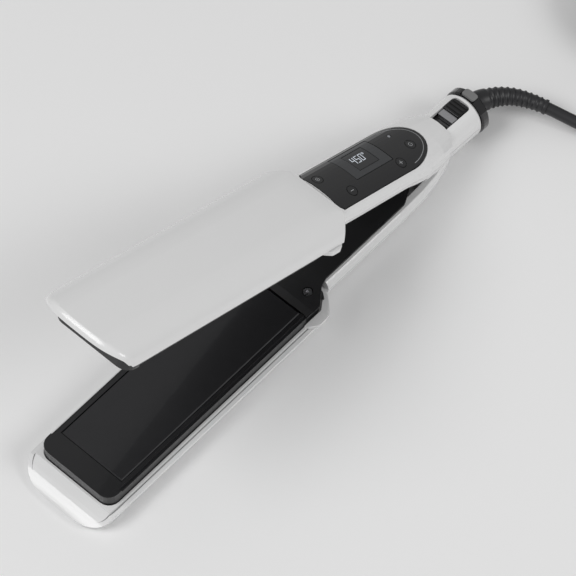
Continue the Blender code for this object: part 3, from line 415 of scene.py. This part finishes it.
def coil_route():
    """Turns lie side by side and then on each other, out and in again layer by layer."""
    columns = [1, 0, -1, -1, 0, 1, 1, 0, -1, -1, 0, 1]
    lanes = [(COIL_MEAN + c * CORD_PITCH, COIL_BASE + CORD_PITCH * (i // 3)) for i, c in enumerate(columns)]
    points = []
    for step in range(1, round(COIL_TURNS * TURN_POINTS)):
        turn, part = divmod(step / TURN_POINTS, 1.0)
        turn = int(turn)
        here, after = lanes[turn], lanes[min(turn + 1, len(lanes) - 1)]
        shift = min(max((part - LANE_CHANGE) / (1 - LANE_CHANGE), 0.0), 1.0)
        shift = shift * shift * (3 - 2 * shift)
        radius = here[0] + (after[0] - here[0]) * shift
        angle = COIL_START + 2 * math.pi * step / TURN_POINTS
        points.append(COIL + Vector((radius * math.cos(angle), radius * math.sin(angle),
                                     here[1] + (after[1] - here[1]) * shift)))
    return points


def add_cord():
    """The cord as one smooth curve with its real thickness."""
    path = smooth_path(lead_route, PATH_SPACING)[:-1] + coil_route()
    path += smooth_path(tail_route, PATH_SPACING)[1:]
    data = bpy.data.curves.new("power_cord", "CURVE")
    data.dimensions = "3D"
    data.bevel_depth = CORD_R
    data.bevel_resolution = 4
    data.use_fill_caps = True
    data.resolution_u = 3
    spline = data.splines.new("NURBS")
    spline.points.add(len(path) - 1)
    for knot, point in zip(spline.points, path):
        knot.co = (*point, 1.0)
    spline.order_u = 4
    spline.use_endpoint_u = True
    data.materials.append(MATERIALS["cord_black"])
    cord = bpy.data.objects.new("power_cord", data)
    bpy.context.scene.collection.objects.link(cord)
    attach(cord, "lower_arm")
    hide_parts("cord_lead", "cord_coil", "cord_tail")


def add_strain_relief():
    """A tapered sleeve, smooth at its root and ribbed along the rest."""
    path = smooth_path(strain_route, 0.4 * MM)
    count = len(path) - 1
    radii = []
    for i in range(count + 1):
        t = i / count
        radius = (6.0 - 2.25 * t**0.8) * MM
        if 0.2 < t < 0.97:
            phase = (t - 0.2) / 0.77 * 11
            groove = 0.5 - 0.5 * math.cos(2 * math.pi * phase)
            radius -= 0.55 * MM * min(1.0, groove * 1.6)
        if t < 0.03:
            radius -= 0.5 * MM * (1 - t / 0.03)
        radii.append(radius)
    piece("strain_sleeve", tube(path, radii), None, "cord_black", "lower_arm", ["strain_relief"])


def add_plug():
    """The moulded plug: a ribbed grip that widens to a flat-sided body."""
    sections = [(-5.8, 3.5, 3.5), (-5.2, 3.8, 3.8)]
    sections += [(-4.4 + 0.9 * k, 4.3 - 0.55 * (k % 2), 4.2 - 0.55 * (k % 2)) for k in range(9)]
    sections += [(4.6, 6.6, 5.4), (6.5, 8.4, 6.5), (9.0, 10.0, 7.1), (12.5, 10.9, 7.35), (17.0, 11.3, 7.4),
                 (25.2, 11.5, 7.35), (26.4, 11.2, 7.1), (27.0, 10.5, 6.5)]
    rings = []
    for x, half_y, half_z in sections:
        ring = []
        for k in range(48):
            a = 2 * math.pi * k / 48
            ring.append((x * MM, half_y * MM * signed_power(math.cos(a), 2 / 3),
                         half_z * MM * signed_power(math.sin(a), 2 / 3)))
        rings.append(ring)
    piece("plug_shell", loft(rings), PLUG, "cord_black", "lower_arm", ["plug_body"])


add_strain_relief()
add_plug()
print("coil turns:", COIL_TURNS)

# %% [markdown]
# ## Covers over the plates
# Each cover is one thin moulded shell with a crowned top, a bowed tip and sloping rear
# corners. A bevelled box would give the wrong crown, which is flat in the middle and falls
# faster towards the edges, so rows of points follow a squared-off arc. An inner dome
# makes the wall, and a side shape cuts the hollow under the tip.

# %% Covers
COVER_HALF, COVER_EDGE, CROWN, CROWN_FLAT = 26.0 * MM, 8.6 * MM, 18.3 * MM, 0.4 * MM
COVER_REAR, COVER_CORNER = 77.4 * MM, 86.5 * MM
TIP_START, TIP_LENGTH, CREASE = 226.0 * MM, 17.5 * MM, 231.6 * MM
FRAME_FACE = 6.9 * MM
ARC_POWER, ARC_STEPS, BOW_POWER = 2.6, 72, 3.2
REAR_FLAT, REAR_POWER = 14.5 * MM, 1.35
RAMP_START, RAMP_HEIGHT, RAMP_SLOPE = 76.4 * MM, 16.55 * MM, 0.2


def quarter_round(part):
    """Height of a quarter circle, from 0 at its foot to 1 at its top."""
    return math.sqrt(max(0.0, 1 - (1 - part) ** 2))


def cover_surface(half, tip, rear, edge, crown, front_round, rear_round):
    """Points of a crowned dome, as rows from the rear to the tip."""
    rows = []
    steps = [0.0, 0.0008, 0.002, 0.004, 0.007, 0.011, 0.017] + [0.025 + 0.93 * k / 16 for k in range(17)]
    steps += [0.965, 0.975, 0.983, 0.989, 0.993, 0.996, 0.998, 0.9993, 1.0]
    for step in steps:
        row = []
        for i in range(ARC_STEPS + 1):
            angle = math.pi * i / ARC_STEPS
            w = half * signed_power(math.cos(angle), 2 / ARC_POWER)
            full = edge
            if 0 < i < ARC_STEPS:
                full = edge + (crown - edge) * math.sin(angle) ** (2 / ARC_POWER)
            full = min(full, crown - CROWN_FLAT)
            front = TIP_START + tip * max(0.0, 1 - abs(w / half) ** BOW_POWER) ** (1 / BOW_POWER)
            side = max(0.0, (abs(w) - REAR_FLAT) / (half - REAR_FLAT))
            back = rear + (COVER_CORNER - COVER_REAR) * side ** REAR_POWER
            s = back + (front - back) * step
            near_front = min((front - s) / front_round, 1.0)
            near_rear = min((s - back) / rear_round, 1.0)
            fall = quarter_round(near_front) * quarter_round(near_rear)
            top = min(full, RAMP_HEIGHT + (s - RAMP_START) * RAMP_SLOPE)
            row.append((-s, w, edge + (top - edge) * fall))
        rows.append(row)
    return rows


def grid_shell(outer, inner):
    """Join an outer dome and an inner dome round their rims into one closed shell."""
    bm = bmesh.new()
    sheets = [[[bm.verts.new(p) for p in row] for row in rows] for rows in (outer, inner)]
    for sheet in sheets:
        for near, far in zip(sheet, sheet[1:]):
            for i in range(len(near) - 1):
                bm.faces.new((near[i], near[i + 1], far[i + 1], far[i]))
    loops = []
    for sheet in sheets:
        loops.append([row[0] for row in sheet] + sheet[-1][1:] + [row[-1] for row in sheet[-2::-1]]
                     + sheet[0][-2:0:-1])
    out, into = loops
    for i in range(len(out)):
        j = (i + 1) % len(out)
        bm.faces.new((out[i], out[j], into[j], into[i]))
    bmesh.ops.remove_doubles(bm, verts=bm.verts, dist=0.000002)
    return from_bmesh(bm)


def scoop():
    """The hollow under each tip."""
    steps = 28
    line = [(CREASE, FRAME_FACE - 3 * MM), (CREASE, FRAME_FACE + 0.8 * MM)]
    for i in range(1, steps + 1):
        u = i / steps
        line.append((CREASE + 14 * MM * u, FRAME_FACE + 0.8 * MM + 7.2 * MM * (1 - (1 - u) ** 2.2)))
    line += [(CREASE + 28 * MM, FRAME_FACE + 8.8 * MM), (CREASE + 28 * MM, FRAME_FACE - 3 * MM)]
    return side_prism(line, 40 * MM)


def cover():
    outer = cover_surface(COVER_HALF, TIP_LENGTH, COVER_REAR, COVER_EDGE, CROWN, 3.0 * MM, 1.2 * MM)
    inner = cover_surface(COVER_HALF - 1.8 * MM, TIP_LENGTH - 1.8 * MM, COVER_REAR + 1.8 * MM,
                          COVER_EDGE, CROWN - 2.3 * MM, 2.0 * MM, 1.0 * MM)
    shell = grid_shell(outer, inner)
    return cut(shell, scoop())


piece("upper_outer_cover", cover(), UPPER, "white_gloss", "upper_arm", ["upper_cover"])
piece("lower_outer_cover", cover(), LOWER, "white_gloss", "lower_arm", ["lower_cover"])
print("cover length:", round((TIP_START + TIP_LENGTH - COVER_REAR) / MM, 1), "mm")

# %% [markdown]
# ## Softened copies of the plainer parts
# Moulded and stamped parts have small rounded edges, which catch the light. Each could be
# made again by hand, but the solids already have the right shape, so a copy of each gets
# a Bevel modifier of its own width, in millimetres.

# %% Softened copies
EDGE_ANGLE = 32.0


def softened(node, width):
    shape = nodes[node].copy()
    shape.data = nodes[node].data.copy()
    for key in list(shape.keys()):
        del shape[key]
    bpy.context.scene.collection.objects.link(shape)
    shape.parent = None
    body = next(name for name, members in frame["record"]["behaviour"]["bodies"].items() if node in members)
    soften(shape, width, EDGE_ANGLE)
    return piece(f"{node}_soft", shape, None, node_slots[node], body, [node])


SOFT_WIDTHS = {
    "lower_frame": 0.35, "upper_frame": 0.35, "lower_heat_surround": 0.6, "upper_heat_surround": 0.6,
    "lower_hot_plate": 0.25, "upper_hot_plate": 0.25, "lower_inner_cover": 0.4, "upper_inner_cover": 0.4,
    "lower_handle_shell": 0.5, "upper_handle_shell": 0.5, "neck_cap": 0.35, "collar": 0.3,
    "collar_pad": 0.25, "lock_slider": 0.3, "lock_plate": 0.3, "control_panel": 0.3,
    "display_frame": 0.2, "display_window": 0.15, "mode_button": 0.25, "minus_button": 0.25,
    "plus_button": 0.25, "power_button": 0.25, "plug_blade_left": 0.3, "plug_blade_right": 0.3,
    "lower_screw_left": 0.15, "lower_screw_right": 0.15, "upper_screw_left": 0.15,
    "upper_screw_right": 0.15, "cord_tie": 0.3,
}
print("softened parts:", len(SOFT_WIDTHS))

# %% [markdown]
# ## Panel marks and display
# The numerals, the key symbols and one fine line are printed or lit on the crowned panel.
# They could be a pattern in a material, but thin tiles that follow the crown keep crisp
# edges and are pieces in their own right.

# %% Panel marks
HANDLE_HALF = 17.0 * MM
PANEL_REAR = 1.0 * MM
PANEL_SIDE, PANEL_RISE, PANEL_POWER = 8.3 * MM, 8.2 * MM, 2.4
TILE_LENGTH, TILE_THICK = 0.8, 0.03
KEYS = {"mode": (71.4, 5.6), "minus": (62.4, -8.6), "plus": (25.4, -8.7), "power": (11.4, -3.0)}


def spine_top(w):
    """Height of the crowned panel at a place across the arm."""
    return PANEL_SIDE + PANEL_RISE * (1 - abs(w / HANDLE_HALF) ** PANEL_POWER) ** (1 / PANEL_POWER)


def stroke(start, end, width, square=True):
    """A flat bar between two (s, w) places in millimetres, cut into short pieces."""
    a, b = Vector(start), Vector(end)
    along = (b - a).normalized()
    across = Vector((-along.y, along.x)) * (width / 2)
    if square:
        a, b = a - along * (width / 2), b + along * (width / 2)
    count = max(1, math.ceil((b - a).length / TILE_LENGTH))
    cells = []
    for i in range(count):
        p, q = a.lerp(b, i / count), a.lerp(b, (i + 1) / count)
        cells.append([p - across, q - across, q + across, p + across])
    return cells


def arc_strokes(centre, radius, start, end, width, steps=20):
    points = []
    for i in range(steps + 1):
        angle = math.radians(start + (end - start) * i / steps)
        points.append((centre[0] + radius * math.cos(angle), centre[1] + radius * math.sin(angle)))
    cells = []
    for a, b in zip(points, points[1:]):
        cells += stroke(a, b, width, square=False)
    return cells


def decal(cells, lift):
    """Thin closed tiles that follow the crown of the panel."""
    bm = bmesh.new()
    for cell in cells:
        low = [bm.verts.new((-s * MM, w * MM, spine_top(w * MM) + (lift - TILE_THICK) * MM))
               for s, w in cell]
        high = [bm.verts.new((-s * MM, w * MM, spine_top(w * MM) + lift * MM)) for s, w in cell]
        bm.faces.new(low[::-1])
        bm.faces.new(high)
        for i in range(len(cell)):
            j = (i + 1) % len(cell)
            bm.faces.new((low[i], low[j], high[j], high[i]))
    return from_bmesh(bm)


SEGMENTS = {"a": ((0, 2), (1, 2)), "b": ((1, 1), (1, 2)), "c": ((1, 0), (1, 1)), "d": ((0, 0), (1, 0)),
            "e": ((0, 0), (0, 1)), "f": ((0, 1), (0, 2)), "g": ((0, 1), (1, 1))}


def numerals():
    """The set temperature in seven-segment figures, leaning a little, with a degree ring."""
    wide, tall, pitch, lean = 1.75, 2.15, 2.95, 0.14
    left, base = 46.9, 2.35
    cells = []

    def place(column, x, y):
        reach = column * pitch + x * wide + lean * y * tall
        return (left - reach, base + y * tall)

    for column, lit in enumerate(("bcfg", "acdfg", "abcdef")):
        for letter in lit:
            (x0, y0), (x1, y1) = SEGMENTS[letter]
            cells += stroke(place(column, x0, y0), place(column, x1, y1), 0.36)
    ring = place(3, 0.15, 1.75)
    return cells + arc_strokes(ring, 0.55, 0, 360, 0.28, 16)


def key_symbols():
    marks = {}
    s, w = KEYS["mode"]
    marks["mode"] = arc_strokes((s, w), 0.95, 0, 360, 0.2) + stroke((s - 0.35, w), (s + 0.35, w), 0.25)
    s, w = KEYS["minus"]
    marks["minus"] = stroke((s - 0.9, w), (s + 0.9, w), 0.28)
    s, w = KEYS["plus"]
    marks["plus"] = stroke((s - 0.9, w), (s + 0.9, w), 0.28) + stroke((s, w - 0.95), (s, w - 0.3), 0.26)
    marks["plus"] += stroke((s, w + 0.3), (s, w + 0.95), 0.26)
    s, w = KEYS["power"]
    marks["power"] = arc_strokes((s, w), 1.0, -145, 145, 0.22) + stroke((s - 1.25, w), (s - 0.35, w), 0.24)
    return marks


def rear_arc():
    """A fine line just inside the panel's round rear end."""
    cells, reach, half = [], 17.4, 12.2
    points = []
    for i in range(49):
        angle = math.radians(6 + 168 * i / 48)
        points.append((PANEL_REAR / MM + 1.9 + reach - reach * math.sin(angle), half * math.cos(angle)))
    for a, b in zip(points, points[1:]):
        cells += stroke(a, b, 0.22, square=False)
    return cells


piece("display_numerals", decal(numerals(), -0.10), UPPER, "display_glass", "upper_arm", look="digit")
piece("panel_line", decal(rear_arc(), 0.03), UPPER, "display_grey", "upper_arm", look="mark")
for key, cells in key_symbols().items():
    piece(f"{key}_symbol", decal(cells, 0.05), UPPER, "black_gloss", key, look="mark")
print("key symbols:", ", ".join(KEYS))

# %% [markdown]
# ## Table and light
# Large soft lamps suit glossy white plastic, since small ones leave hard spots. One broad
# lamp and a smaller side lamp over a pale table do it, with a dim white sky to fill.

# %% Table and light
TABLE_HALF = 6.0
SKY_STRENGTH = 0.36


def add_floor():
    bm = bmesh.new()
    bmesh.ops.create_grid(bm, x_segments=1, y_segments=1, size=TABLE_HALF)
    floor = from_bmesh(bm, "table")
    paint = Paint("table_look", (0.93, 0.93, 0.93), 0.6)
    paint.tint(paint.noise(3.0), (0.92, 0.92, 0.92), (0.94, 0.94, 0.94))
    floor.data.materials.append(paint.material)


def add_area(name, place, aim, size, power):
    data = bpy.data.lights.new(name, "AREA")
    data.shape = "RECTANGLE"
    data.size, data.size_y = size
    data.energy = power
    light = bpy.data.objects.new(name, data)
    light.location = place
    light.rotation_euler = (Vector(aim) - Vector(place)).to_track_quat("-Z", "Y").to_euler()
    bpy.context.scene.collection.objects.link(light)


def add_world():
    world = bpy.data.worlds.new("world")
    bpy.context.scene.world = world
    world.use_nodes = True
    world.node_tree.nodes["Background"].inputs["Color"].default_value = (1.0, 1.0, 1.0, 1.0)
    world.node_tree.nodes["Background"].inputs["Strength"].default_value = SKY_STRENGTH


add_floor()
add_world()
add_area("key", (-0.95, 0.45, 1.35), (0.0, 0.0, 0.0), (0.9, 0.9), 11.0)
add_area("side", (0.45, -1.15, 1.05), (0.0, 0.0, 0.03), (0.8, 0.6), 6.5)

for soft_node, soft_width in SOFT_WIDTHS.items():
    softened(soft_node, soft_width * MM)

add_cord()

scene = bpy.context.scene
scene.view_settings.view_transform = "Standard"
